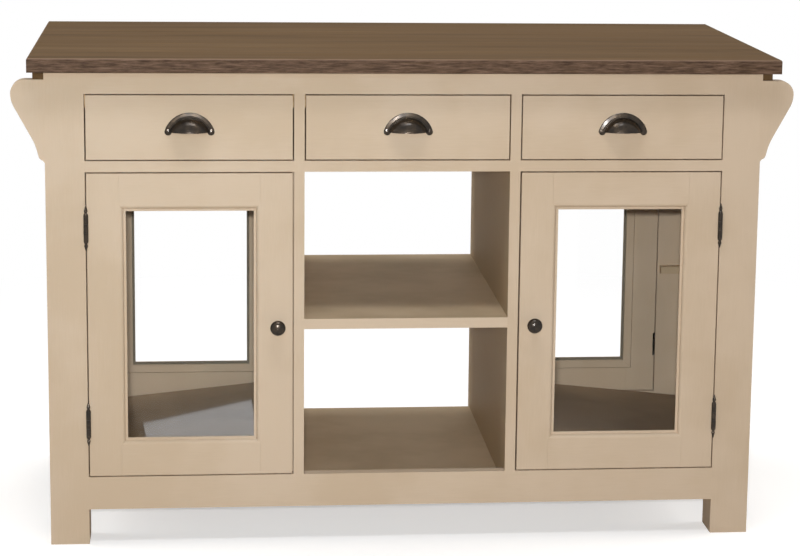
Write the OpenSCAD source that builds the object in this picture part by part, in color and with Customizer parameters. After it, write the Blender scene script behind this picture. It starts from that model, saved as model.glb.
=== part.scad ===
// Painted kitchen island with a stained timber worktop, three drawers and an open centre bay,
// glazed doors on both long faces, and a towel rail held between brackets at each end.
// The origin is on the floor at the middle of the plan. The drawers face -Y and +Z is up.

/* [Overall] */
// Height from the floor to the top of the worktop
unit_h = 900; // [860:5:960]
// Width over the outer faces of the posts
carcass_w = 1300; // [1180:10:1600]
// Depth over the outer faces of the posts
carcass_d = 620; // [580:10:760]

/* [Worktop] */
// Thickness of the worktop
top_t = 26; // [18:1:40]
// Radius of the worktop's rounded upper edge
top_round = 4; // [1:0.5:8]
// Overhang of the worktop past the posts at each end
top_over_end = 28; // [20:1:50]
// Overhang of the worktop past the posts at the front and rear
top_over_face = 30; // [15:1:50]
// Width of the batten under each end of the worktop
batten_w = 20; // [12:1:24]
// Height of that batten, which fills the space above the brackets
batten_h = 16; // [10:1:22]
// Distance from the front of the posts to the end of the batten
batten_setback = 8; // [2:1:20]

/* [Face frame] */
// Side of each square foot, and width of the stiles above it
post_s = 70; // [60:1:90]
// Thickness of the rails between the posts
rail_t = 22; // [18:1:26]
// Height of the rail under the worktop
top_rail_h = 41; // [36:1:60]
// Height of the rail between the drawers and the doors
mid_rail_h = 20; // [18:1:40]
// Height of the rail under the doors
bottom_rail_h = 61; // [55:1:80]
// Depth of the rear bottom rail below the bottom board, in the centre bay
rear_rail_drop = 6; // [4:1:12]
// Clear height under the bottom rail
foot_clear = 66; // [50:1:90]
// Height of a drawer opening
drawer_open_h = 121; // [100:1:140]
// Thickness of the two dividers beside the centre bay
divider_t = 19; // [16:0.5:28]

/* [Boards] */
// Thickness of the bottom board
board_t = 18; // [12:1:22]
// Depth of the bottom board's top below the top of the bottom rail
board_drop = 29; // [24:1:34]
// Thickness of the shelf in the centre bay
shelf_t = 19; // [15:1:25]
// Height of the top of the centre shelf
shelf_z = 420; // [300:5:520]
// Thickness of the loose shelf that leans in each side bay
loose_shelf_t = 22; // [12:1:26]
// Play of a loose shelf in front of the door stops
loose_shelf_play = 1; // [0.5:0.5:2]
// Thickness of the board under the drawers
deck_t = 12; // [9:1:14]
// Depth of the deck's top below the drawer opening
deck_drop = 7; // [5:1:9]
// Thickness of the panel at each end
end_panel_t = 10; // [6:1:12]
// Depth of the end panel behind the face of the posts
end_panel_set = 8; // [4:1:12]
// Thickness of the fixed panels behind the drawers
fascia_t = 18; // [12:1:22]

/* [Drawers] */
// Gap round a drawer front
drawer_gap = 2.5; // [2:0.5:4]
// Thickness of a drawer front
drawer_front_t = 20; // [16:1:22]
// Length of a drawer side
drawer_len = 500; // [400:10:510]
// Height of a drawer side
drawer_side_h = 88; // [60:1:90]
// Thickness of the drawer sides and back
drawer_side_t = 12; // [10:1:15]
// Thickness of the drawer bottom
drawer_bottom_t = 6; // [4:0.5:9]
// Height of the drawer bottom above the lower edge of the sides
drawer_bottom_up = 8; // [6:1:12]
// Clearance between a drawer side and the opening
drawer_side_play = 3; // [2:0.5:4]
// Clearance between a drawer side and its runner
runner_play = 0.5; // [0.4:0.1:1]
// Width of the runners and kickers
runner_w = 18; // [14:1:24]
// Clearance between a drawer side and the kicker above it
kicker_play = 5; // [2:0.5:8]
// Thickness of the guide board beside an outer drawer
guide_t = 10; // [8:1:14]
// Length of the block that stops a closing drawer
stop_len = 18; // [12:1:24]
// Height of the block that stops a closing drawer
stop_h = 18; // [12:1:24]

/* [Doors] */
// Thickness of a door
door_t = 22; // [20:1:24]
// Gap between a door and its post on the hinge side
hinge_gap = 2.4; // [2.4:0.1:3]
// Gap between a door and the divider on the knob side
free_gap = 3; // [2:0.5:4]
// Gap above and below a door
level_gap = 2.5; // [2:0.5:4]
// Width of a door stile or rail up to its moulding
stile_w = 58; // [50:1:70]
// Width of the moulding round the glass
mould_w = 11.5; // [10:0.5:16]
// Radius of the moulding's rounded shoulder
mould_round = 7; // [4:0.5:7.5]
// Step from that shoulder down to the flat fillet beside the glass
mould_step = 0.5; // [0.25:0.25:1.5]
// Depth of the rebate for the glass behind the moulding
rebate_d = 11; // [10:0.5:12]
// Width of the glazing beads
bead_w = 16; // [13:1:17]
// Distance of a bead's inner edge behind the moulding's, seen through the glass
bead_back = 5; // [2:0.5:6]
// Play between a bead and the side of its rebate
bead_play = 0.8; // [0.4:0.2:1.2]
// Depth of the beads below the back of the door
bead_set = 0.5; // [0.25:0.25:2]
// Thickness of the glass
glass_t = 4; // [3:0.5:5]
// Play between the glass and its rebate
glass_play = 1.5; // [1:0.5:3]
// Glue line between members of a frame
glue_line = 0.2; // [0.1:0.1:0.3]
// Width of the strip that a closed door rests against
door_stop_w = 8; // [6:1:14]
// Thickness of that strip, front to back
door_stop_t = 10; // [8:1:16]
// Gap between a closed door and its stop strip and catch
door_stop_gap = 0.6; // [0.4:0.1:1]
// Size of a magnetic catch along the door
catch_w = 40; // [30:1:50]
// Size of a magnetic catch, front to back
catch_d = 14; // [10:1:18]
// Height of a magnetic catch
catch_h = 12; // [8:1:16]
// Distance of the catch from the divider
catch_inset = 16; // [15:1:30]
// Height of the shelf cleats inside the side bays
cleat_h = 15; // [15:1:25]
// Thickness of the shelf cleats inside the side bays
cleat_t = 18; // [12:1:22]
// Height of the top of the shelf cleats
cleat_z = 398; // [300:1:500]
// Length of the cleat on each divider
cleat_len = 400; // [200:10:440]
// Distance of the cleat on each post from the post's inner side
cleat_in = 5; // [3:1:20]

/* [Hinges] */
// Outer radius of the hinge barrel
barrel_r = 4.4; // [4:0.1:4.5]
// Distance of the hinge axis in front of the door's face
barrel_out = 5; // [4.9:0.1:6]
// Length of the hinge barrel
barrel_len = 48; // [40:1:60]
// Radius of the hinge pin
pin_r = 2.3; // [2:0.1:2.5]
// Radial running clearance between the pin and the turning knuckle
pin_play = 0.05; // [0.03:0.01:0.08]
// Length of the pointed tip at each end of the pin
tip_len = 18; // [12:1:22]
// Thickness of a hinge leaf
leaf_t = 1; // [0.8:0.1:1]
// Depth of a hinge leaf into the gap
leaf_d = 18; // [14:1:20]
// Gap between neighbouring knuckles
knuckle_gap = 0.4; // [0.3:0.1:0.6]
// Distance of a hinge's middle from the top or bottom of the door
hinge_inset = 99; // [60:1:140]

/* [Handles] */
// Outer radius of the cup handle's arched rim
cup_rim_r = 46.5; // [40:0.5:50]
// Width of the cup handle's arched rim
cup_rim_w = 10; // [8:0.5:14]
// Thickness of the cup handle's rim at its outer edge
cup_rim_t = 2; // [1.5:0.5:3]
// Thickness of the raised bead along the rim's inner edge
cup_bead_t = 4.5; // [3.5:0.5:6]
// Radius of the round lug at each end of the rim
cup_lug_r = 6.5; // [6:0.5:8]
// Height of the lugs' middle above the centre of the arch
cup_lug_up = 12; // [10:0.5:15]
// Height of the cup's open mouth above the centre of the arch
cup_mouth_up = 11.5; // [8:0.5:13]
// Distance that the cup stands out from the drawer
cup_out = 24; // [20:1:27]
// Wall of the cup
cup_wall = 2; // [1.5:0.5:3]
// Height of the arch's centre above the lower edge of the drawer front
cup_up = 38.5; // [28:0.5:42]
// Diameter of a door knob
knob_d = 28; // [24:1:34]
// Distance that a door knob stands out
knob_out = 28; // [24:1:29]
// Distance of the knob's middle from the free edge of the door
knob_inset = 26.5; // [20:0.5:34]
// Height of the knob's middle above the lower edge of the door
knob_up = 278; // [200:1:400]

/* [End brackets] */
// Height of a bracket
bracket_h = 150; // [140:1:170]
// Thickness of a bracket
bracket_t = 25; // [18:1:32]
// Distance of a bracket behind the face of the post
bracket_set = 2.5; // [0:0.5:6]
// Radius of the rounded upper corner of a bracket
bracket_round = 25; // [22:1:30]
// Length of the flat top of a bracket before that corner
bracket_flat = 34; // [30:1:40]
// Slope of the bracket's outline from upright, in degrees
bracket_slope = 28.5; // [26:0.5:29]
// Radius of the towel rail
rail_r = 11; // [9:0.5:13]
// Distance of the towel rail's centre from the posts
rail_off = 30; // [28:1:34]
// Height of the towel rail's centre above the foot of the bracket
rail_up = 102; // [98:1:106]
// Depth of the towel rail's socket in a bracket
socket_d = 12; // [8:1:15]

/* [Fixings] */
// Length of a block that holds the worktop
block_len = 50; // [40:1:70]
// Height and depth of a block that holds the worktop
block_s = 20; // [15:1:24]

/* [Hidden] */
$fn = 48;

PAINT = [0.80, 0.72, 0.62];
INSIDE = [0.66, 0.59, 0.50];
STAIN = [0.38, 0.30, 0.21];
PINE = [0.82, 0.70, 0.52];
BRONZE = [0.20, 0.17, 0.14];
STEEL = [0.62, 0.62, 0.60];
GLASS = [0.80, 0.90, 0.88, 0.35];

LEFT = -1;
RIGHT = 1;
FRONT = -1;
REAR = 1;
SIDES = [LEFT, RIGHT];
FACES = [FRONT, REAR];
ONE = 1;      // overshoot of a cutter past the face that it cuts

// Heights of the horizontal lines of the frame
under_top = unit_h - top_t;
drawer_top = under_top - top_rail_h;
drawer_low = drawer_top - drawer_open_h;
door_top = drawer_low - mid_rail_h;
door_low = foot_clear + bottom_rail_h;
board_top = door_low - board_drop;
deck_top = drawer_low - deck_drop;
deck_low = deck_top - deck_t;
bracket_top = under_top - batten_h;
bracket_low = bracket_top - bracket_h;

// Positions in plan
half_w = carcass_w / 2;
half_d = carcass_d / 2;
post_x = half_w - post_s;             // inner side of a post
post_y = half_d - post_s;             // back of a post, seen from its own face
rail_y = half_d - rail_t;             // back of the rails in the two faces
end_rail_x = half_w - rail_t;         // back of the rails at the ends
end_panel_x = half_w - end_panel_set - end_panel_t;
wall_x = min(end_panel_x, end_rail_x);     // outer side of the space in a side bay
bay_w = (2 * post_x - 2 * divider_t) / 3;
centre_x = bay_w / 2;                 // side of the centre bay
outer_x = centre_x + divider_t;       // inner side of an outer bay
outer_mid = (outer_x + post_x) / 2;   // middle of an outer bay

// Doors, drawn with the hinge edge at x = 0, the outer face at y = 0 and the lower edge at z = 0
door_w = bay_w - hinge_gap - free_gap;
door_h = door_top - door_low - 2 * level_gap;
rebate_in = stile_w + mould_w - bead_back - bead_w;     // start of the rebate, from the door's edge
glass_in = rebate_in + glass_play;
hinge_zs = [hinge_inset, door_h - hinge_inset];
knuckle_len = (barrel_len - 2 * knuckle_gap) / 3;

// Points along an arc from angle a0 to a1 about c
function arc(c, r, a0, a1, n = 8) =
    [for (i = [0 : n]) let (a = a0 + (a1 - a0) * i / n) c + r * [cos(a), sin(a)]];

// ---------- helpers ----------

// Box from one corner to the opposite one
module block(low, high) {
    translate(low) cube(high - low);
}

// Draws its children at the left front, and mirrors them to another side or face
module at_corner(side, face) {
    mirror([side > 0 ? 1 : 0, 0, 0]) mirror([0, face > 0 ? 1 : 0, 0]) children();
}

module at_all_corners() {
    for (side = SIDES, face = FACES) at_corner(side, face) children();
}

// Puts its children in the opening of one door
module at_door(side, face) {
    at_corner(side, face)
        translate([-post_x + hinge_gap, -half_d, door_low + level_gap]) children();
}

// Puts its children at the middle of a drawer opening: bay is -1, 0 or 1
module at_drawer(bay) {
    translate([bay * outer_mid, -half_d, drawer_low]) children();
}

// ---------- worktop ----------

// Slab whose upper edge is rounded on all four sides
module worktop() {
    side_x = half_w + top_over_end;
    side_y = half_d + top_over_face;
    color(STAIN) hull() for (a = [0 : 15 : 90]) {
        inset = top_round * (1 - cos(a));
        high = unit_h - top_round * (1 - sin(a));
        block([-side_x + inset, -side_y + inset, under_top], [side_x - inset, side_y - inset, high]);
    }
}

module end_battens() {
    color(STAIN) for (side = SIDES) at_corner(side, FRONT)
        block([-half_w - batten_w, -half_d + batten_setback, bracket_top],
              [-half_w, half_d - batten_setback, under_top]);
}

module worktop_blocks() {
    color(PINE) for (bay = [-1 : 1], face = FACES)
        translate([bay * outer_mid, 0, 0]) at_corner(LEFT, face)
            block([-block_len / 2, -rail_y, under_top - block_s],
                  [block_len / 2, -rail_y + block_s, under_top]);
}

// ---------- frame ----------

// A stile in the face and one in the end, as thick as the rails, and a solid foot under the board
module posts(face) {
    for (side = SIDES) at_corner(side, face) {
        block([-half_w, -half_d, 0], [-post_x, -rail_y, under_top]);
        block([-half_w, -half_d, 0], [-end_rail_x, -post_y, under_top]);
        block([-half_w, -half_d, 0], [-post_x, -post_y, board_top - board_t]);
    }
}

module front_posts() {
    color(PAINT) posts(FRONT);
}

module rear_posts() {
    color(PAINT) posts(REAR);
}

// One rail in the front face and one in the rear face, between x0 and x1
module face_rails(x0, x1, low, high) {
    for (face = FACES) at_corner(LEFT, face)
        block([x0, -half_d, low], [x1, -rail_y, high]);
}

module top_rails() {
    color(PAINT) face_rails(-post_x, post_x, drawer_top, under_top);
}

module mid_rails() {
    color(PAINT) {
        face_rails(-centre_x, centre_x, door_top, drawer_low);
        face_rails(-post_x, -outer_x, door_top, drawer_low);
        face_rails(outer_x, post_x, door_top, drawer_low);
    }
}

// The rear rail is cut down in the centre bay, which is open at the back
module bottom_rails() {
    color(PAINT) difference() {
        face_rails(-post_x, post_x, foot_clear, door_low);
        block([-centre_x, rail_y - ONE, board_top - rear_rail_drop],
              [centre_x, half_d + ONE, door_low + ONE]);
    }
}

// Boards that are flush with both faces, notched round the top and bottom rails
module dividers() {
    color(PAINT) for (side = SIDES) at_corner(side, FRONT) {
        block([-outer_x, -half_d, door_low], [-centre_x, half_d, drawer_top]);
        block([-outer_x, -rail_y, board_top], [-centre_x, rail_y, under_top]);
    }
}

module end_rails() {
    color(PAINT) for (side = SIDES) at_corner(side, FRONT) {
        block([-half_w, -post_y, drawer_top], [-end_rail_x, post_y, under_top]);
        block([-half_w, -post_y, foot_clear], [-end_rail_x, post_y, door_low]);
    }
}

module end_panels() {
    color(PAINT) for (side = SIDES) at_corner(side, FRONT)
        block([-end_panel_x - end_panel_t, -post_y, door_low], [-end_panel_x, post_y, drawer_top]);
}

// ---------- boards ----------

module bottom_board() {
    color(INSIDE)
        block([-end_rail_x, -rail_y, board_top - board_t], [end_rail_x, rail_y, board_top]);
}

module centre_shelf() {
    color(INSIDE) block([-centre_x, -half_d, shelf_z - shelf_t], [centre_x, half_d, shelf_z]);
}

// Shelf in each side bay, clear of the door stops. It is as long as the bay is wide, so it jams
// with its outer end on the bottom board and its inner end up the divider
module loose_shelves() {
    len = wall_x - outer_x;
    lean = 2 * atan(loose_shelf_t / len);       // slope at which the board spans the bay corner to corner
    end_y = rail_y - door_stop_gap - door_stop_t - loose_shelf_play;
    color(INSIDE) for (side = SIDES) at_corner(side, FRONT)
        translate([-wall_x + loose_shelf_t * sin(lean), 0, board_top]) rotate([0, -lean, 0])
            block([0, -end_y, 0], [len, end_y, loose_shelf_t]);
}

module drawer_decks() {
    color(INSIDE) {
        block([-centre_x, -rail_y, deck_low], [centre_x, rail_y, deck_top]);
        for (side = SIDES) at_corner(side, FRONT) {
            block([-wall_x, -rail_y, deck_low], [-outer_x, rail_y, deck_top]);
            block([-end_panel_x, -post_y, deck_low], [-outer_x, post_y, deck_top]);
        }
    }
}

module rear_fascia() {
    color(PAINT) for (bay = [-1 : 1])
        block([bay * outer_mid - bay_w / 2, half_d - fascia_t, drawer_low],
              [bay * outer_mid + bay_w / 2, half_d, drawer_top]);
}

// ---------- what the drawers run on ----------

// The two strips under or over a drawer, between two heights
module drawer_strips(bay, y0, y1, low, high) {
    for (side = SIDES) translate([bay * outer_mid, 0, 0]) at_corner(side, FRONT)
        block([-bay_w / 2, y0, low], [-bay_w / 2 + runner_w, y1, high]);
}

// Strips under and over the drawer sides; those beside the posts are held by an upright guide
module drawer_runners() {
    kicker_low = drawer_low + runner_play + drawer_side_h + kicker_play;
    color(PINE) {
        for (bay = [-1 : 1]) {
            drawer_strips(bay, -rail_y, rail_y, deck_top, drawer_low);
            drawer_strips(bay, -rail_y, rail_y, kicker_low, drawer_top);
        }
        for (side = SIDES) at_corner(side, FRONT)
            block([-post_x - guide_t, -rail_y, deck_top], [-post_x, rail_y, drawer_top]);
    }
}

module drawer_stops() {
    back_y = -half_d + drawer_front_t + drawer_len + runner_play;
    color(PINE) for (bay = [-1 : 1])
        drawer_strips(bay, back_y, back_y + stop_len, drawer_low, drawer_low + stop_h);
}

// ---------- fittings inside the side bays ----------

module shelf_cleats() {
    color(INSIDE) {
        at_all_corners()
            block([-wall_x, -rail_y, cleat_z - cleat_h],
                  [-post_x - cleat_in, -rail_y + cleat_t, cleat_z]);
        for (side = SIDES) at_corner(side, FRONT)
            block([-outer_x - cleat_t, -cleat_len / 2, cleat_z - cleat_h],
                  [-outer_x, cleat_len / 2, cleat_z]);
    }
}

module door_stops() {
    stop_y = -half_d + door_t + door_stop_gap;
    color(INSIDE) at_all_corners()
        block([-outer_x - door_stop_w, stop_y, board_top], [-outer_x, stop_y + door_stop_t, deck_low]);
}

module door_catches() {
    catch_y = -half_d + door_t + door_stop_gap;
    catch_x = -outer_x - catch_inset;
    color(BRONZE) at_all_corners()
        block([catch_x - catch_w, catch_y, deck_low - catch_h], [catch_x, catch_y + catch_d, deck_low]);
}

// ---------- end brackets and towel rails ----------

// Outline of a bracket: u runs out from the post, v runs up from the foot
module bracket_outline() {
    top = [bracket_flat, bracket_h - bracket_round];
    out = bracket_flat + bracket_round;
    belly_r = 50;
    belly = [out - belly_r, top[1]];
    slope_end = 46;                 // height at which the straight slope ends
    waist_r = 110;
    foot_slope = 14;                // slope of the outline above the nose
    nose_r = 10;
    belly_end = belly + belly_r * [cos(bracket_slope), -sin(bracket_slope)];
    slope_low = [belly_end[0] - (belly_end[1] - slope_end) * tan(bracket_slope), slope_end];
    waist = slope_low + waist_r * [cos(bracket_slope), -sin(bracket_slope)];
    waist_end = waist - waist_r * [cos(foot_slope), -sin(foot_slope)];
    nose_up = 12;
    nose_top = [waist_end[0] - (waist_end[1] - nose_up) * tan(foot_slope), nose_up];
    nose = nose_top - nose_r * [cos(foot_slope), -sin(foot_slope)];
    polygon(concat(
        [[0, 0], [0, bracket_h]],
        arc(top, bracket_round, 90, 0),
        arc(belly, belly_r, 0, -bracket_slope, 4),
        arc(waist, waist_r, 180 - bracket_slope, 180 - foot_slope, 4),
        arc(nose, nose_r, -foot_slope, -75, 4)));
}

rail_end = half_d - bracket_set - bracket_t + socket_d;      // y of a towel rail's end

module brackets() {
    color(PAINT) at_all_corners() difference() {
        translate([-half_w, -half_d + bracket_set + bracket_t, bracket_low])
            rotate([90, 0, 0]) mirror([1, 0, 0]) linear_extrude(bracket_t) bracket_outline();
        translate([-half_w - rail_off, -rail_end, bracket_low + rail_up])
            rotate([-90, 0, 0]) cylinder(r = rail_r, h = socket_d + ONE);
    }
}

module towel_rails() {
    color(STAIN) for (side = SIDES) at_corner(side, FRONT)
        translate([-half_w - rail_off, -rail_end, bracket_low + rail_up])
            rotate([-90, 0, 0]) cylinder(r = rail_r, h = 2 * rail_end);
}

// ---------- drawers ----------

module drawer_front(bay) {
    color(PAINT) at_drawer(bay)
        block([-bay_w / 2 + drawer_gap, 0, drawer_gap],
              [bay_w / 2 - drawer_gap, drawer_front_t, drawer_open_h - drawer_gap]);
}

drawer_half = bay_w / 2 - drawer_side_play;      // outer side of the drawer box
drawer_in = drawer_half - drawer_side_t;         // inner side of the drawer box
drawer_back_y = drawer_front_t + drawer_len;     // rear end of the drawer box

module drawer_sides(bay) {
    color(PINE) at_drawer(bay) for (side = SIDES) mirror([side > 0 ? 1 : 0, 0, 0])
        block([-drawer_half, drawer_front_t, runner_play],
              [-drawer_in, drawer_back_y, runner_play + drawer_side_h]);
}

module drawer_bottom(bay) {
    low = runner_play + drawer_bottom_up;
    color(PINE) at_drawer(bay)
        block([-drawer_in, drawer_front_t, low], [drawer_in, drawer_back_y, low + drawer_bottom_t]);
}

module drawer_back(bay) {
    low = runner_play + drawer_bottom_up + drawer_bottom_t;
    color(PINE) at_drawer(bay)
        block([-drawer_in, drawer_back_y - drawer_side_t, low],
              [drawer_in, drawer_back_y, runner_play + drawer_side_h]);
}

// Half of an ellipse, as the profile of a dome
module dome_profile(r, h) {
    polygon(concat([[0, 0]], [for (a = [0 : 7.5 : 90]) [r * cos(a), h * sin(a)]]));
}

// Cup handle: an arched rim with a raised inner bead and a lug at each end, and a hollow dome
// that is open below
module cup_handle(bay) {
    lug_mid_r = cup_rim_r - cup_lug_r;
    lug_a = asin(cup_lug_up / lug_mid_r);
    inner_r = cup_rim_r - cup_rim_w;
    bead_r = inner_r + 1.2;
    color(BRONZE) at_drawer(bay) translate([0, 0, drawer_gap + cup_up]) rotate([90, 0, 0]) {
        rotate([0, 0, lug_a]) rotate_extrude(angle = 180 - 2 * lug_a, $fn = 96)
            polygon([[inner_r - 1, 0], [cup_rim_r, 0], [cup_rim_r, cup_rim_t * 0.6],
                     [cup_rim_r - 1, cup_rim_t], [bead_r + 3, cup_rim_t + 1],
                     [bead_r + 1.2, cup_bead_t - 0.4], [bead_r, cup_bead_t],
                     [inner_r, cup_bead_t - 0.4], [inner_r - 1, cup_rim_t]]);
        for (side = SIDES) translate([side * lug_mid_r * cos(lug_a), cup_lug_up])
            rotate_extrude() polygon([[0, 0], [cup_lug_r, 0], [cup_lug_r, cup_rim_t * 0.7],
                                      [cup_lug_r * 0.8, cup_rim_t + 0.8], [0, cup_bead_t - 0.8]]);
        intersection() {
            difference() {
                rotate_extrude() dome_profile(inner_r + 0.5, cup_out);
                rotate_extrude() dome_profile(inner_r + 0.5 - cup_wall, cup_out - cup_wall);
            }
            block([-cup_rim_r, cup_mouth_up, 0], [cup_rim_r, cup_rim_r, cup_out + ONE]);
        }
    }
}

// ---------- doors ----------

// Section of a frame member: u runs from the outer edge towards the glass, v runs back from the face
module member_section() {
    glass_edge = stile_w + mould_w;
    fillet_depth = mould_round + mould_step;
    polygon(concat(
        [[0, 0]], arc([stile_w, mould_round], mould_round, -90, 0, 6),
        [[stile_w + mould_round, fillet_depth], [glass_edge, fillet_depth],
         [glass_edge, door_t], [0, door_t]]));
}

// Member of the given length standing on z = 0, with its outer edge at x = 0
module member(len) {
    linear_extrude(len) member_section();
}

// Part of the door's face that one stile covers: the moulding is mitred, the rest runs through
module stile_mask() {
    full = stile_w + mould_w;
    rotate([90, 0, 0]) translate([0, 0, -door_t - ONE]) linear_extrude(door_t + 2 * ONE)
        polygon([[0, 0], [stile_w, 0], [stile_w, stile_w], [full, full],
                 [full, door_h - full], [stile_w, door_h - stile_w], [stile_w, door_h], [0, door_h]]);
}

// Part of the door's face that one rail covers, less the glue line
module rail_mask() {
    full = stile_w + mould_w;
    x0 = stile_w + glue_line;
    x1 = full + glue_line;
    rotate([90, 0, 0]) translate([0, 0, -door_t - ONE]) linear_extrude(door_t + 2 * ONE)
        polygon([[x0, 0], [x0, stile_w], [x1, full],
                 [door_w - x1, full], [door_w - x0, stile_w], [door_w - x0, 0]]);
}

// Space behind the moulding that takes the glass and its beads
module glazing_rebate() {
    block([rebate_in, rebate_d, rebate_in], [door_w - rebate_in, door_t + ONE, door_h - rebate_in]);
}

module door_frame(side, face) {
    color(PAINT) at_door(side, face) {
        for (flip = [0, 1])
            translate([flip * door_w, 0, 0]) mirror([flip, 0, 0]) difference() {
                intersection() {
                    member(door_h);
                    stile_mask();
                }
                glazing_rebate();
            }
        for (flip = [0, 1])
            translate([0, 0, flip * door_h]) mirror([0, 0, flip]) difference() {
                intersection() {
                    translate([door_w, 0, 0]) rotate([0, -90, 0]) member(door_w);
                    rail_mask();
                }
                glazing_rebate();
            }
    }
}

module door_glass(side, face) {
    color(GLASS) at_door(side, face)
        block([glass_in, rebate_d, glass_in], [door_w - glass_in, rebate_d + glass_t, door_h - glass_in]);
}

// One side of the ring of glazing beads, mitred at both ends, along an opening of the given length
module bead_strip(len) {
    mitre = bead_play + glue_line;
    linear_extrude(door_t - rebate_d - glass_t - bead_set)
        polygon([[mitre, bead_play], [len - mitre, bead_play],
                 [len - bead_w - glue_line, bead_w], [bead_w + glue_line, bead_w]]);
}

module door_beads(side, face) {
    open_w = door_w - 2 * rebate_in;
    open_h = door_h - 2 * rebate_in;
    color(PAINT) at_door(side, face) translate([rebate_in, door_t - bead_set, rebate_in]) {
        for (flip = [0, 1]) translate([0, 0, flip * open_h]) mirror([0, 0, flip])
            rotate([90, 0, 0]) bead_strip(open_w);
        for (flip = [0, 1]) translate([flip * open_w, 0, 0]) mirror([flip, 0, 0])
            rotate([90, 0, 0]) mirror([1, -1, 0]) bead_strip(open_h);
    }
}

module door_knob(side, face) {
    rose_r = knob_d * 0.32;
    neck_r = knob_d * 0.2;
    head_h = knob_out * 0.32;
    color(BRONZE) at_door(side, face) translate([door_w - knob_inset, 0, knob_up])
        rotate([90, 0, 0]) rotate_extrude() polygon(concat(
            [[0, 0], [rose_r, 0], [rose_r, 2], [neck_r, 4.5], [neck_r, knob_out - 2 * head_h - 1]],
            [for (a = [-60 : 15 : 90]) [knob_d / 2 * cos(a), knob_out - head_h + head_h * sin(a)]]));
}

// ---------- hinges ----------

// Puts its children on the axis of each of a door's two hinges, at the middle of the barrel
module at_hinges(side, face) {
    for (z = hinge_zs) at_door(side, face) translate([-hinge_gap / 2, -barrel_out, z]) children();
}

// One knuckle, at the given step up from the middle of the barrel
module knuckle(step, bore_r) {
    translate([0, 0, step * (knuckle_len + knuckle_gap) - knuckle_len / 2]) difference() {
        cylinder(r = barrel_r, h = knuckle_len);
        translate([0, 0, -ONE]) cylinder(r = bore_r, h = knuckle_len + 2 * ONE);
    }
}

// Flat leaf in the gap, with x0 its face on the left, and a web out to each of its knuckles
module leaf(x0, steps) {
    back = barrel_out + leaf_d;
    block([x0, barrel_out - 0.3, -barrel_len / 2], [x0 + leaf_t, back, barrel_len / 2]);
    for (step = steps) translate([0, 0, step * (knuckle_len + knuckle_gap)])
        block([x0, (pin_r + barrel_r) / 2, -knuckle_len / 2], [x0 + leaf_t, back, knuckle_len / 2]);
}

module hinge_post_leaves() {
    color(BRONZE) for (side = SIDES, face = FACES) at_hinges(side, face) {
        leaf(-hinge_gap / 2, [-1, 1]);
        for (step = [-1, 1]) knuckle(step, pin_r);
    }
}

module hinge_leaves(side, face) {
    color(BRONZE) at_hinges(side, face) {
        leaf(hinge_gap / 2 - leaf_t, [0]);
        knuckle(0, pin_r + pin_play);
    }
}

module hinge_pins() {
    base = barrel_len / 2;
    tip = [[barrel_r - 0.4, 0], [barrel_r - 0.6, 2], [pin_r, 4], [pin_r + 1.2, 8], [0.8, tip_len - 1]];
    color(BRONZE) for (side = SIDES, face = FACES) at_hinges(side, face) rotate_extrude()
        polygon(concat(
            [[0, -base - tip_len]], [for (i = [4 : -1 : 0]) [tip[i][0], -base - tip[i][1]]],
            [[pin_r, -base], [pin_r, base]],
            [for (p = tip) [p[0], base + p[1]]], [[0, base + tip_len]]));
}

// ---------- all nodes ----------

worktop();
end_battens();
worktop_blocks();
front_posts();
rear_posts();
top_rails();
mid_rails();
bottom_rails();
dividers();
end_rails();
end_panels();
bottom_board();
centre_shelf();
loose_shelves();
drawer_decks();
drawer_runners();
drawer_stops();
rear_fascia();
shelf_cleats();
door_stops();
door_catches();
brackets();
towel_rails();
hinge_post_leaves();
hinge_pins();

drawer_front(-1);  // left_drawer_front
drawer_sides(-1);  // left_drawer_sides
drawer_back(-1);  // left_drawer_back
drawer_bottom(-1);  // left_drawer_bottom
cup_handle(-1);  // left_drawer_handle
drawer_front(0);  // centre_drawer_front
drawer_sides(0);  // centre_drawer_sides
drawer_back(0);  // centre_drawer_back
drawer_bottom(0);  // centre_drawer_bottom
cup_handle(0);  // centre_drawer_handle
drawer_front(1);  // right_drawer_front
drawer_sides(1);  // right_drawer_sides
drawer_back(1);  // right_drawer_back
drawer_bottom(1);  // right_drawer_bottom
cup_handle(1);  // right_drawer_handle

door_frame(LEFT, FRONT);  // front_left_door_frame
door_glass(LEFT, FRONT);  // front_left_door_glass
door_beads(LEFT, FRONT);  // front_left_door_beads
door_knob(LEFT, FRONT);  // front_left_door_knob
hinge_leaves(LEFT, FRONT);  // front_left_hinge_leaves
door_frame(RIGHT, FRONT);  // front_right_door_frame
door_glass(RIGHT, FRONT);  // front_right_door_glass
door_beads(RIGHT, FRONT);  // front_right_door_beads
door_knob(RIGHT, FRONT);  // front_right_door_knob
hinge_leaves(RIGHT, FRONT);  // front_right_hinge_leaves
door_frame(LEFT, REAR);  // rear_left_door_frame
door_glass(LEFT, REAR);  // rear_left_door_glass
door_beads(LEFT, REAR);  // rear_left_door_beads
door_knob(LEFT, REAR);  // rear_left_door_knob
hinge_leaves(LEFT, REAR);  // rear_left_hinge_leaves
door_frame(RIGHT, REAR);  // rear_right_door_frame
door_glass(RIGHT, REAR);  // rear_right_door_glass
door_beads(RIGHT, REAR);  // rear_right_door_beads
door_knob(RIGHT, REAR);  // rear_right_door_knob
hinge_leaves(RIGHT, REAR);  // rear_right_hinge_leaves
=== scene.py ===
"""Looks of the painted kitchen island: materials, small fittings, floor, light and camera."""
import math
import bpy
import bmesh
from mathutils import Matrix, Vector


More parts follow.
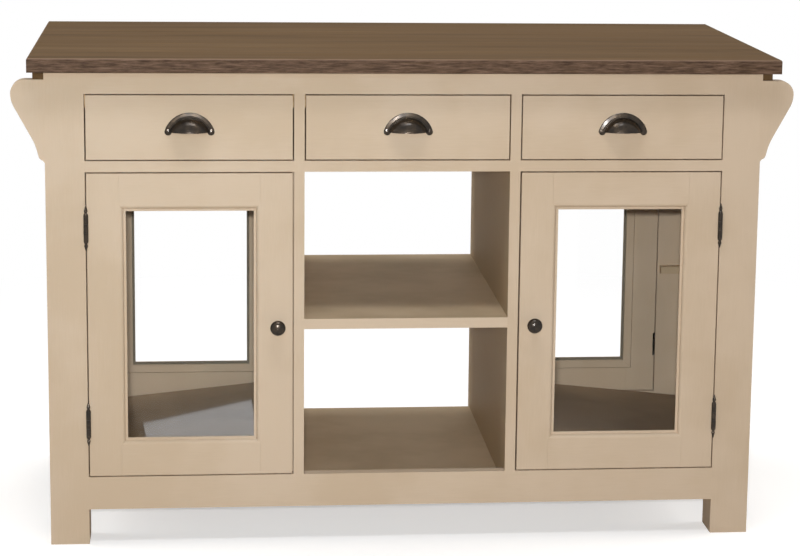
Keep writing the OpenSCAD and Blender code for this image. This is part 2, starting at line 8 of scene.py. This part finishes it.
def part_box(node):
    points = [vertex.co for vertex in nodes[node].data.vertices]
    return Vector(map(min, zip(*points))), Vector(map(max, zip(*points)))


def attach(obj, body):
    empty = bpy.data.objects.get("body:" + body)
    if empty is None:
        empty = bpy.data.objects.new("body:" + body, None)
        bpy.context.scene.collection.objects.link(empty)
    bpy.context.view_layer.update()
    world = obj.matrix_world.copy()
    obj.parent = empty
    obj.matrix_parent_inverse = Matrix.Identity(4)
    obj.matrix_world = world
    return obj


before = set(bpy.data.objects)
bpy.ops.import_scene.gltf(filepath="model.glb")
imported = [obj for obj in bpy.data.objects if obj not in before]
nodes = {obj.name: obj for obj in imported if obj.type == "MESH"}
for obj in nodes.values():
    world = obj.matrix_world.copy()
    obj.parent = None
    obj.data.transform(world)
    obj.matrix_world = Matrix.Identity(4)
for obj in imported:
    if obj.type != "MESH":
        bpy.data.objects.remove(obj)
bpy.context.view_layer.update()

DRAWERS = ("left", "centre", "right")
DOORS = ("front_left", "front_right", "rear_left", "rear_right")


# ---------- node graphs ----------

def srgb(r, g, b):
    """Linear colour of an sRGB colour given from 0 to 255."""
    def lin(v):
        v /= 255
        return v / 12.92 if v <= 0.04045 else ((v + 0.055) / 1.055) ** 2.4
    return (lin(r), lin(g), lin(b), 1)


class Graph:
    """A material's node tree, with short calls for the nodes that the finishes use."""

    def __init__(self, name):
        self.mat = bpy.data.materials.new(name)
        self.mat.use_nodes = True
        self.tree = self.mat.node_tree
        self.tree.nodes.clear()
        self.out = self.tree.nodes.new("ShaderNodeOutputMaterial")
        self.coord = self.tree.nodes.new("ShaderNodeTexCoord")

    def put(self, socket, value):
        if isinstance(value, bpy.types.NodeSocket):
            self.tree.links.new(value, socket)
        else:
            socket.default_value = value

    def node(self, kind, settings=None, **inputs):
        n = self.tree.nodes.new("ShaderNode" + kind)
        for k, v in (settings or {}).items():
            setattr(n, k, v)
        for k, v in inputs.items():
            self.put(n.inputs[k.replace("_", " ")], v)
        return n

    def math(self, op, a, b=0.0, c=None):
        n = self.node("Math", {"operation": op})
        self.put(n.inputs[0], a)
        self.put(n.inputs[1], b)
        if c is not None:
            self.put(n.inputs[2], c)
        return n.outputs[0]

    def mix(self, fac, a, b, blend="MIX"):
        n = self.node("Mix", {"data_type": "RGBA", "blend_type": blend})
        self.put(n.inputs[0], fac)
        self.put(n.inputs[6], a)
        self.put(n.inputs[7], b)
        return n.outputs[2]

    def ramp(self, value, low, high, to_low=0.0, to_high=1.0, smooth=True):
        kind = "SMOOTHSTEP" if smooth else "LINEAR"
        n = self.node("MapRange", {"interpolation_type": kind})
        for i, v in enumerate((value, low, high, to_low, to_high)):
            self.put(n.inputs[i], v)
        return n.outputs[0]

    def place(self, scale=(1, 1, 1), offset=(0, 0, 0), rotation=(0, 0, 0)):
        """Object coordinates, scaled: a small factor draws a pattern out along that axis."""
        n = self.node("Mapping", Scale=scale, Location=offset, Rotation=rotation)
        self.put(n.inputs["Vector"], self.coord.outputs["Object"])
        return n.outputs[0]

    def noise(self, vector, scale, detail=3.0, rough=0.5, distortion=0.0):
        n = self.node("TexNoise", Vector=vector, Scale=scale, Detail=detail,
                      Roughness=rough, Distortion=distortion)
        return n.outputs[0]

    def axes(self, socket="Object"):
        n = self.node("SeparateXYZ")
        self.put(n.inputs[0], self.coord.outputs[socket])
        return n.outputs

    def bump(self, height, distance, strength=1.0, normal=None):
        n = self.node("Bump", Height=height, Distance=distance, Strength=strength)
        if normal is not None:
            self.put(n.inputs["Normal"], normal)
        return n.outputs[0]

    def finish(self, shader):
        self.put(self.out.inputs["Surface"], shader)
        return self.mat


def along(axis, stretch=0.06):
    """Scale that draws a pattern out along one axis."""
    return tuple(stretch if a == axis else 1.0 for a in "xyz")


# ---------- finishes ----------

PAINT = srgb(207, 187, 164)
PAINT_DEEP = srgb(200, 179, 154)
SEAL = srgb(140, 129, 114)
# painted shade: the paint darkened for the faces inside the bays, which stand in shade; the real
# paint there is PAINT
PAINT_IN_SHADE = srgb(202, 180, 150)
PAINT_IN_DEEPER_SHADE = srgb(188, 166, 136)
LOOSE = srgb(156, 131, 102)
LOOSE_DEEP = srgb(136, 113, 87)
TOP = srgb(101, 79, 54)
TOP_DARK = srgb(84, 65, 43)
TOP_LIGHT = srgb(117, 94, 66)
EDGE = srgb(108, 86, 71)
EDGE_DARK = srgb(72, 56, 45)
# EDGE_FLECK_AND_HIGHLIGHT gives pale flecks on the sawn edges, and the painted highlight on the
# eased arrises
EDGE_FLECK_AND_HIGHLIGHT = srgb(140, 116, 99)
PINE = srgb(212, 182, 138)
PINE_DARK = srgb(178, 141, 96)
BRONZE = srgb(52, 42, 31)
BRONZE_WORN = srgb(118, 100, 80)
BRONZE_DEEP = srgb(30, 23, 16)


LOOKS_ALONG = 0.7       # part of its normal on an axis from which a face counts as looking along it
SEAL_REACH = 0.0004     # how far from its depth the putty is drawn


def painted(name, axis, light=PAINT, deep=PAINT_DEEP, stiles=None, seal_y=None, sides=None,
            gloss=(0.07, 0.58), left_rough=None):
    """Satin paint with faint brush marks along the grain of the board.

    stiles is the distance of a door's middle from the middle of the unit, and the distance from
    the door's middle to its stiles, where the marks turn upright. The glass is bedded in grey
    putty at the depth seal_y. sides is an axis, 0 for X, and the colour of the faces that look
    along it: painted shade on faces that stand in shade, or the lit paint on a front edge whose
    top is painted in shade. gloss is the specular level and the lowest roughness. left_rough is
    given for a pair of boards without brush marks, as the lowest roughness of the left one.
    """
    g = Graph(name)

    def brushed(way):
        return g.noise(g.place(along(way)), 420, 2, 0.6)

    marks = brushed(axis)
    if stiles is not None:
        door_x, rail_half = stiles
        off = g.math("ABSOLUTE", g.math("SUBTRACT", g.math("ABSOLUTE", g.axes()[0]), door_x))
        in_stile = g.math("GREATER_THAN", off, rail_half)
        marks = g.ramp(in_stile, 0, 1, marks, brushed("z"), False)
    clouds = g.noise(g.place(), 5.5, 3, 0.55)
    specks = g.noise(g.place(), 260, 2, 0.5)
    tone = g.math("ADD", g.math("MULTIPLY", marks, 0.18), g.math("MULTIPLY", clouds, 0.82))
    colour = g.mix(g.ramp(tone, 0.36, 0.62), deep, light)
    colour = g.mix(g.ramp(specks, 0.66, 0.76, 0, 0.22), colour, deep)
    # painted shade: faces that look along one axis take their own colour, a darker shade or the lit
    # paint beside a shaded top
    if sides is not None:
        looks_along, side_colour = sides
        turned = g.math("ABSOLUTE", g.axes("Normal")[looks_along])
        on_side = g.math("GREATER_THAN", turned, LOOKS_ALONG)
        colour = g.mix(on_side, colour, side_colour)
    if seal_y is not None:
        off = g.math("ABSOLUTE", g.math("SUBTRACT", g.math("ABSOLUTE", g.axes()[1]), seal_y))
        turned = g.math("ABSOLUTE", g.axes("Normal")[1])
        bedded = g.math("MULTIPLY", g.math("LESS_THAN", off, SEAL_REACH),
                        g.math("GREATER_THAN", turned, LOOKS_ALONG))
        colour = g.mix(bedded, colour, SEAL)
    lowest, highest, relief = gloss[1], gloss[1] + 0.10, 0.55
    if left_rough is not None:
        on_left = g.math("LESS_THAN", g.axes()[0], 0.0)
        lowest = g.ramp(on_left, 0, 1, gloss[1], left_rough, False)
        highest = g.math("ADD", lowest, 0.04)
        relief = 0.05
    rough = g.ramp(marks, 0.3, 0.7, lowest, highest)
    height = g.math("ADD", g.math("MULTIPLY", marks, 0.8), g.math("MULTIPLY", specks, 0.2))
    normal = g.bump(height, 0.00022, relief)
    p = g.node("BsdfPrincipled", Base_Color=colour, Roughness=rough, Normal=normal,
               Specular_IOR_Level=gloss[0])
    return g.finish(p.outputs[0])


TOP_FRONT, TOP_BOARD = 0.34, 0.0972      # from the middle to the front, and width of one board


def stained(name, axis="x", edges=True):
    """Brown stained timber: long streaks, darker pores, and greyer sawn edges."""
    g = Graph(name)
    a = "xyz".index(axis)
    pos = g.axes()
    across = pos[1 - a] if a < 2 else pos[0]
    board = g.math("FLOOR", g.math("MULTIPLY", g.math("ADD", across, TOP_FRONT), 1 / TOP_BOARD))
    shift = g.node("CombineXYZ")
    g.put(shift.inputs[a], g.math("MULTIPLY", board, 3.71))
    place = g.node("VectorMath", {"operation": "ADD"})
    g.put(place.inputs[0], g.coord.outputs["Object"])
    g.put(place.inputs[1], shift.outputs[0])

    def drawn(stretch, scale, detail, rough=0.6, distortion=0.0):
        m = g.node("Mapping", Scale=along(axis, stretch))
        g.put(m.inputs["Vector"], place.outputs[0])
        return g.noise(m.outputs[0], scale, detail, rough, distortion)

    broad = drawn(0.10, 14, 4, 0.6, 0.4)
    streaks = drawn(0.035, 95, 5, 0.65, 0.2)
    pores = drawn(0.025, 620, 2, 0.5)
    fine = drawn(0.09, 300, 4, 0.7)
    tone = g.math("ADD", g.math("MULTIPLY", broad, 0.55), g.math("MULTIPLY", streaks, 0.45))
    colour = g.mix(g.ramp(tone, 0.34, 0.52), TOP_DARK, TOP)
    colour = g.mix(g.ramp(tone, 0.52, 0.70), colour, TOP_LIGHT)
    tint = g.node("TexWhiteNoise", {"noise_dimensions": "1D"})
    g.put(tint.inputs["W"], board)
    colour = g.mix(g.math("MULTIPLY", tint.outputs[0], 0.16), colour, TOP_DARK)
    if edges:
        up = g.math("ABSOLUTE", g.axes("Normal")[2])
        side = g.ramp(up, 0.35, 0.75, 1, 0)
        sawn = g.mix(g.ramp(fine, 0.36, 0.60), EDGE_DARK, EDGE)
        sawn = g.mix(g.ramp(fine, 0.56, 0.70, 0, 0.55), sawn, EDGE_FLECK_AND_HIGHLIGHT)
        colour = g.mix(side, colour, sawn)
        # painted highlight: the eased edges that tilt up are lightened as if catching the light
        painted_arris_highlight = g.math("MULTIPLY", g.ramp(up, 0.2, 0.6), g.ramp(up, 0.8, 0.98, 1, 0))
        colour = g.mix(g.math("MULTIPLY", painted_arris_highlight, 0.75), colour, EDGE_FLECK_AND_HIGHLIGHT)
    dark_pore = g.ramp(pores, 0.30, 0.42, 0.55, 0)
    colour = g.mix(dark_pore, colour, TOP_DARK)
    rough = g.ramp(streaks, 0.3, 0.7, 0.68, 0.8)
    height = g.math("ADD", g.math("MULTIPLY", streaks, 0.5), g.math("MULTIPLY", pores, 0.5))
    normal_out = g.bump(height, 0.0005, 0.5)
    p = g.node("BsdfPrincipled", Base_Color=colour, Roughness=rough, Normal=normal_out,
               Specular_IOR_Level=0.05)
    return g.finish(p.outputs[0])


def bare_pine(name, axis):
    """Planed pale wood with growth rings along the board."""
    g = Graph(name)
    place = g.place(along(axis, 0.08))
    rings = g.node("TexWave", {"wave_type": "BANDS", "bands_direction": "DIAGONAL"},
                   Vector=place, Scale=26, Distortion=5.5, Detail=3, Detail_Scale=1.4)
    fibre = g.noise(g.place(along(axis, 0.03)), 700, 2, 0.6)
    colour = g.mix(g.ramp(rings.outputs[1], 0.25, 0.95, 0, 0.75), PINE, PINE_DARK)
    colour = g.mix(g.ramp(fibre, 0.35, 0.5, 0.3, 0), colour, PINE_DARK)
    p = g.node("BsdfPrincipled", Base_Color=colour, Roughness=g.ramp(fibre, 0.3, 0.7, 0.5, 0.66),
               Normal=g.bump(fibre, 0.0002, 0.4), IOR=1.45)
    return g.finish(p.outputs[0])


def bronze(name, worn=0.35):
    """Dark antique bronze, paler where hands have rubbed it."""
    g = Graph(name)
    patches = g.noise(g.place(), 70, 4, 0.62)
    grit = g.noise(g.place(), 900, 2, 0.5)
    colour = g.mix(g.ramp(patches, 0.35, 0.6), BRONZE_DEEP, BRONZE)
    colour = g.mix(g.ramp(patches, 0.58, 0.75, 0, worn), colour, BRONZE_WORN)
    p = g.node("BsdfPrincipled", Base_Color=colour, Metallic=0.85,
               Roughness=g.ramp(patches, 0.3, 0.7, 0.36, 0.26), Normal=g.bump(grit, 0.0001, 0.3),
               Coat_Weight=0.35, Coat_Roughness=0.18)
    return g.finish(p.outputs[0])


def clear_glass(name):
    """Thin window glass that lets the lamps' light through to what is behind it."""
    g = Graph(name)
    glass = g.node("BsdfPrincipled", Base_Color=(1, 1, 1, 1), Roughness=0.0, IOR=1.15,
                   Transmission_Weight=1.0)
    open_ = g.node("BsdfTransparent", Color=(0.91, 0.92, 0.91, 1))
    light = g.node("LightPath")
    pick = g.node("MixShader")
    g.put(pick.inputs[0], g.math("MAXIMUM", light.outputs["Is Shadow Ray"],
                                 light.outputs["Is Diffuse Ray"]))
    g.put(pick.inputs[1], glass.outputs[0])
    g.put(pick.inputs[2], open_.outputs[0])
    return g.finish(pick.outputs[0])


paint_x = painted("paint_x", "x")
paint_y = painted("paint_y", "y")
paint_z = painted("paint_z", "z")
glass_low, glass_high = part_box("front_left_door_glass")
door_low, door_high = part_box("front_left_door_frame")
STILE_W, SEAL_IN = 0.0582, 0.011         # width of a door's stile, and depth of the putty
door_mid = abs(glass_low[0] + glass_high[0]) / 2
rail_half = (door_high[0] - door_low[0]) / 2 - STILE_W
paint_door = painted("paint_door", "x", stiles=(door_mid, rail_half),
                     seal_y=abs(door_low[1]) - SEAL_IN)
# painted shade: a divider's faces that look along X, into the bays, are darker
paint_divider_shaded_sides = painted("paint_divider_shaded_sides", "z", sides=(0, PAINT_IN_DEEPER_SHADE))
# painted shade: the board inside the bays, the drawer decks and the shelf cleats take the paint
# darkened as in shade
shaded_inside_x = painted("shaded_inside_x", "x", PAINT_IN_SHADE, PAINT_IN_DEEPER_SHADE)
shaded_inside_y = painted("shaded_inside_y", "y", PAINT_IN_SHADE, PAINT_IN_DEEPER_SHADE)
# painted shade: the shelf's top takes the shaded inside colour, its front edge the lit paint
shelf_shaded_top = painted("shelf_shaded_top", "x", PAINT_IN_SHADE, PAINT_IN_DEEPER_SHADE, sides=(1, PAINT))
loose_x = painted("loose_x", "x", LOOSE, LOOSE_DEEP, gloss=(0.26, 0.8), left_rough=0.06)
top_wood = stained("top_wood")
rail_wood = stained("rail_wood", "y", edges=False)
pine_x = bare_pine("pine_x", "x")
pine_y = bare_pine("pine_y", "y")
metal = bronze("bronze")
hinge_metal = bronze("hinge_bronze", 0.2)
glass = clear_glass("clear_glass")

FINISH = {
    "worktop": top_wood, "end_battens": rail_wood, "towel_rails": rail_wood,
    "worktop_blocks": pine_x, "front_posts": paint_z, "rear_posts": paint_z,
    "top_rails": paint_x, "mid_rails": paint_x, "bottom_rails": paint_x,
    "dividers": paint_divider_shaded_sides, "end_rails": paint_y, "end_panels": paint_z,
    "bottom_board": shaded_inside_x, "centre_shelf": shelf_shaded_top, "loose_shelves": loose_x,
    "drawer_decks": shaded_inside_x, "drawer_runners": pine_y, "drawer_stops": pine_y,
    "rear_fascia": paint_x, "shelf_cleats": shaded_inside_y, "door_stops": paint_z,
    "door_catches": metal, "brackets": paint_z,
    "hinge_post_leaves": hinge_metal, "hinge_pins": hinge_metal,
}
for d in DRAWERS:
    FINISH.update({d + "_drawer_front": paint_x, d + "_drawer_sides": pine_y,
                   d + "_drawer_back": pine_x, d + "_drawer_bottom": pine_x,
                   d + "_drawer_handle": metal})
for d in DOORS:
    FINISH.update({d + "_door_frame": paint_door, d + "_door_glass": glass,
                   d + "_door_beads": paint_z, d + "_door_knob": metal,
                   d + "_hinge_leaves": hinge_metal})

EASED = {  # width of the eased edges, in metres
    "worktop": 0.0008, "front_posts": 0.0012, "rear_posts": 0.0012, "brackets": 0.0012,
    "centre_shelf": 0.0008, "top_rails": 0.0003, "mid_rails": 0.0003, "bottom_rails": 0.0003,
    "dividers": 0.0003, "end_rails": 0.0003, "end_battens": 0.0008, "rear_fascia": 0.0005,
}
for d in DRAWERS:
    EASED[d + "_drawer_front"] = 0.0009
    EASED[d + "_drawer_sides"] = 0.0006
for d in DOORS:
    EASED[d + "_door_frame"] = 0.0004
    EASED[d + "_door_beads"] = 0.0004

for name, obj in nodes.items():
    for i in range(max(1, len(obj.material_slots))):
        if not obj.material_slots:
            obj.data.materials.append(FINISH[name])
        else:
            obj.material_slots[i].material = FINISH[name]
    if name in EASED:
        bevel = obj.modifiers.new("eased", "BEVEL")
        bevel.width = EASED[name]
        bevel.segments = 2
        bevel.limit_method = "ANGLE"
        bevel.angle_limit = math.radians(40)
        bevel.use_clamp_overlap = True
        bevel.harden_normals = False


# ---------- small fittings ----------

def mesh_object(name, bm, material):
    me = bpy.data.meshes.new(name)
    bm.to_mesh(me)
    bm.free()
    me.materials.append(material)
    obj = bpy.data.objects.new(name, me)
    bpy.context.scene.collection.objects.link(obj)
    return obj


HEAD_R, HEAD_PROUD = 0.003, 0.0001       # radius and height of a screw's head
HEAD_TOP_R = HEAD_R * 0.93
SLOT_HALF = 0.0004                       # half the width of the slot in a screw's head
HEAD_STEPS = 12                          # sides of each half of a head
SCREW_UP = 0.015                         # from the middle of a hinge to each of its screws
SUNK = 0.0003                            # how far each small piece goes into what carries it
LEAF_T, LEAF_GAP = 0.001, 0.0004         # thickness of a leaf, and gap between two leaves
LEAF_D, LEAF_HALF = 0.018, 0.024         # depth and half the height of a leaf
PLATE_W, PLATE_T = 0.040, 0.00045
PLATE_UNDER, PLATE_TOP = 0.0015, 0.0005  # below the catch, and below the door's top
LET_IN, LET_T = 0.003, 0.0002            # width and height of a leaf's end on a door's inner face


def add_box(bm, low, high):
    """Box between two corners."""
    made = bmesh.ops.create_cube(bm, size=1)["verts"]
    bmesh.ops.scale(bm, verts=made, vec=[abs(b - a) for a, b in zip(low, high)])
    bmesh.ops.translate(bm, verts=made, vec=[(a + b) / 2 for a, b in zip(low, high)])


def slotted_head(bm, x, y, z, out, turn):
    """Flat head of a screw in a face that looks along X: two halves with the slot between them."""
    start = math.asin(SLOT_HALF / HEAD_R)
    levels = ((-SUNK, HEAD_R), (HEAD_PROUD / 2, HEAD_R), (HEAD_PROUD, HEAD_TOP_R))
    for half in (0, math.pi):
        rings = []
        for depth, r in levels:
            ring = []
            for i in range(HEAD_STEPS + 1):
                a = half + start + (math.pi - 2 * start) * i / HEAD_STEPS
                u, v = r * math.cos(a), r * math.sin(a)
                ring.append(bm.verts.new((x + out * depth,
                                          y + u * math.cos(turn) - v * math.sin(turn),
                                          z + u * math.sin(turn) + v * math.cos(turn))))
            rings.append(ring)
        for a, b in zip(rings, rings[1:]):
            for i in range(len(a)):
                j = (i + 1) % len(a)
                bm.faces.new((a[i], a[j], b[j], b[i]))
        bm.faces.new(rings[0])
        bm.faces.new(rings[-1])
    bmesh.ops.recalc_face_normals(bm, faces=bm.faces)


def fitting(name, bm, look, body):
    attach(mesh_object(name, bm, look), body)


post_screws = bmesh.new()
catch_low, catch_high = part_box("door_catches")
for d in DOORS:
    low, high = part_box(d + "_door_frame")
    leaves_low, leaves_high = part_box(d + "_hinge_leaves")
    side = -1 if "left" in d else 1
    face = -1 if "front" in d else 1
    edge = max(abs(low[0]), abs(high[0]))
    screw_y = face * (max(abs(low[1]), abs(high[1])) - LEAF_D / 2)
    inner_y = min(abs(low[1]), abs(high[1]))
    leaf_x = side * (edge + LEAF_T)
    post_leaf_x = side * (edge + LEAF_T + LEAF_GAP)
    door_screws = bmesh.new()
    leaf_ends = bmesh.new()
    for n, middle in enumerate((leaves_low[2] + LEAF_HALF, leaves_high[2] - LEAF_HALF)):
        for up in (-SCREW_UP, SCREW_UP):
            turn = 0.9 + 2.1 * n + 47 * up          # no two slots stand alike
            slotted_head(door_screws, leaf_x, screw_y, middle + up, side, turn)
            slotted_head(post_screws, post_leaf_x, screw_y, middle + up, -side, -turn)
        add_box(leaf_ends,
                (side * (edge - LET_IN), face * (inner_y - LET_T), middle - LEAF_HALF),
                (side * edge, face * (inner_y + SUNK), middle + LEAF_HALF))
    plate = bmesh.new()
    add_box(plate,
            (side * (catch_high[0] - PLATE_W), face * (inner_y - PLATE_T),
             catch_low[2] - PLATE_UNDER),
            (side * catch_high[0], face * (inner_y + SUNK), high[2] - PLATE_TOP))
    fitting(d + "_leaf_screws", door_screws, metal, d + "_door")
    fitting(d + "_leaf_ends", leaf_ends, hinge_metal, d + "_door")
    fitting(d + "_strike_plate", plate, metal, d + "_door")
fitting("post_leaf_screws", post_screws, metal, "carcass")


# ---------- floor, light and camera ----------

def floor_material():
    """Pale floor that fades to plain white away from the object."""
    g = Graph("floor")
    pos = g.axes()
    far = g.node("VectorMath", {"operation": "LENGTH"})
    g.put(far.inputs[0], g.place((0.62, 1, 0)))
    fade = g.ramp(far.outputs[1], 0.7, 2.2)
    lit = g.node("BsdfDiffuse", Color=(0.80, 0.80, 0.80, 1))
    lift = g.node("Emission", Color=(1, 1, 1, 1), Strength=0.45)
    near = g.node("AddShader")
    g.put(near.inputs[0], lit.outputs[0])
    g.put(near.inputs[1], lift.outputs[0])
    white = g.node("Emission", Color=(1, 1, 1, 1), Strength=1.0)
    shown = g.node("MixShader")
    g.put(shown.inputs[0], fade)
    g.put(shown.inputs[1], near.outputs[0])
    g.put(shown.inputs[2], white.outputs[0])
    path = g.node("LightPath")
    seen = g.math("MAXIMUM", path.outputs["Is Camera Ray"], path.outputs["Is Glossy Ray"])
    seen = g.math("MAXIMUM", seen, path.outputs["Is Transmission Ray"])
    out = g.node("MixShader")
    g.put(out.inputs[0], seen)
    plain = g.node("BsdfDiffuse", Color=(0.50, 0.44, 0.36, 1))
    g.put(out.inputs[1], plain.outputs[0])
    g.put(out.inputs[2], shown.outputs[0])
    return g.finish(out.outputs[0])


bm = bmesh.new()
bmesh.ops.create_grid(bm, x_segments=1, y_segments=1, size=30)
floor = mesh_object("floor", bm, floor_material())

world = bpy.data.worlds.new("studio")
world.use_nodes = True
tree = world.node_tree
tree.nodes.clear()
out = tree.nodes.new("ShaderNodeOutputWorld")
path = tree.nodes.new("ShaderNodeLightPath")
seen = path.outputs["Is Camera Ray"]
for ray in ("Is Transmission Ray", "Is Glossy Ray"):
    either = tree.nodes.new("ShaderNodeMath")
    either.operation = "MAXIMUM"
    tree.links.new(seen, either.inputs[0])
    tree.links.new(path.outputs[ray], either.inputs[1])
    seen = either.outputs[0]
strength = tree.nodes.new("ShaderNodeMapRange")
tree.links.new(seen, strength.inputs[0])
strength.inputs[3].default_value = 0.05     # light that the room gives
strength.inputs[4].default_value = 1.0      # white where it is seen
sky = tree.nodes.new("ShaderNodeBackground")
sky.inputs[0].default_value = (1, 1, 1, 1)
tree.links.new(strength.outputs[0], sky.inputs[1])
tree.links.new(sky.outputs[0], out.inputs[0])
bpy.context.scene.world = world


def softbox(name, place, aim, size, power, colour=(1, 1, 1), spread=180, glossy=True):
    """Rectangular lamp that faces a point; spread narrows its light to a beam, in degrees."""
    data = bpy.data.lights.new(name, "AREA")
    data.shape = "RECTANGLE"
    data.size, data.size_y = size
    data.energy = power
    data.color = colour
    data.spread = math.radians(spread)
    obj = bpy.data.objects.new(name, data)
    obj.location = place
    obj.rotation_euler = (Vector(aim) - Vector(place)).to_track_quat("-Z", "Y").to_euler()
    obj.visible_glossy = glossy
    bpy.context.scene.collection.objects.link(obj)


softbox("key", (-0.41, -4.69, 1.472), (-0.5, -0.3, 0.6), (0.14, 0.07), 72, spread=140)
softbox("window", (0.28, -4.7, 1.5), (-0.6, -0.3, 0.8), (0.06, 1.1), 5, spread=120)
softbox("cool", (-1.2, -4.2, 2.3), (-0.45, -0.3, 0.85), (0.6, 0.6), 0.5, (0.40, 0.75, 1.0),
        spread=30, glossy=False)
softbox("front_top", (-0.2, -1.22, 3.1), (0, -0.3, 0.7), (1.6, 0.4), 24)
softbox("top", (0.1, 0.75, 3.1), (0, 0.1, 0.9), (2.2, 0.8), 26, glossy=False)
softbox("rear", (0.9, 4.6, 0.7), (0, 0.3, 0.5), (1.6, 0.8), 85, glossy=False)
softbox("left", (-4.4, 0.3, 1.7), (-0.6, 0, 0.5), (1.6, 1.4), 85, glossy=False)
softbox("right", (4.4, 0.3, 1.7), (0.6, 0, 0.5), (1.6, 1.4), 85, glossy=False)

cam_data = bpy.data.cameras.new("camera")
cam = bpy.data.objects.new("camera", cam_data)
bpy.context.scene.collection.objects.link(cam)
FOCAL_PX, CENTRE_PX, PHOTO_W, PHOTO_H = 2453.48, (461.75, 248.45), 800, 556
CAM_AT = Vector((-0.3841, -4.6913, 1.3823))
CAM_TURN = Vector((0.18732717, -0.1084028, 0.00462135))      # axis, as long as the angle
cam_data.sensor_width = 36
cam_data.lens = FOCAL_PX * 36 / PHOTO_W
cam_data.shift_x = (PHOTO_W / 2 - CENTRE_PX[0]) / PHOTO_W
cam_data.shift_y = (CENTRE_PX[1] - PHOTO_H / 2) / PHOTO_W
cam_data.clip_end = 100
turn = Matrix.Rotation(CAM_TURN.length, 3, CAM_TURN)
rows = turn @ Matrix(((1, 0, 0), (0, 0, -1), (0, 1, 0)))     # right, down and forward
pose = Matrix((rows[0], -rows[1], -rows[2])).transposed().to_4x4()
pose.translation = CAM_AT
cam.matrix_world = pose
bpy.context.scene.camera = cam
bpy.context.scene.view_settings.view_transform = "Standard"
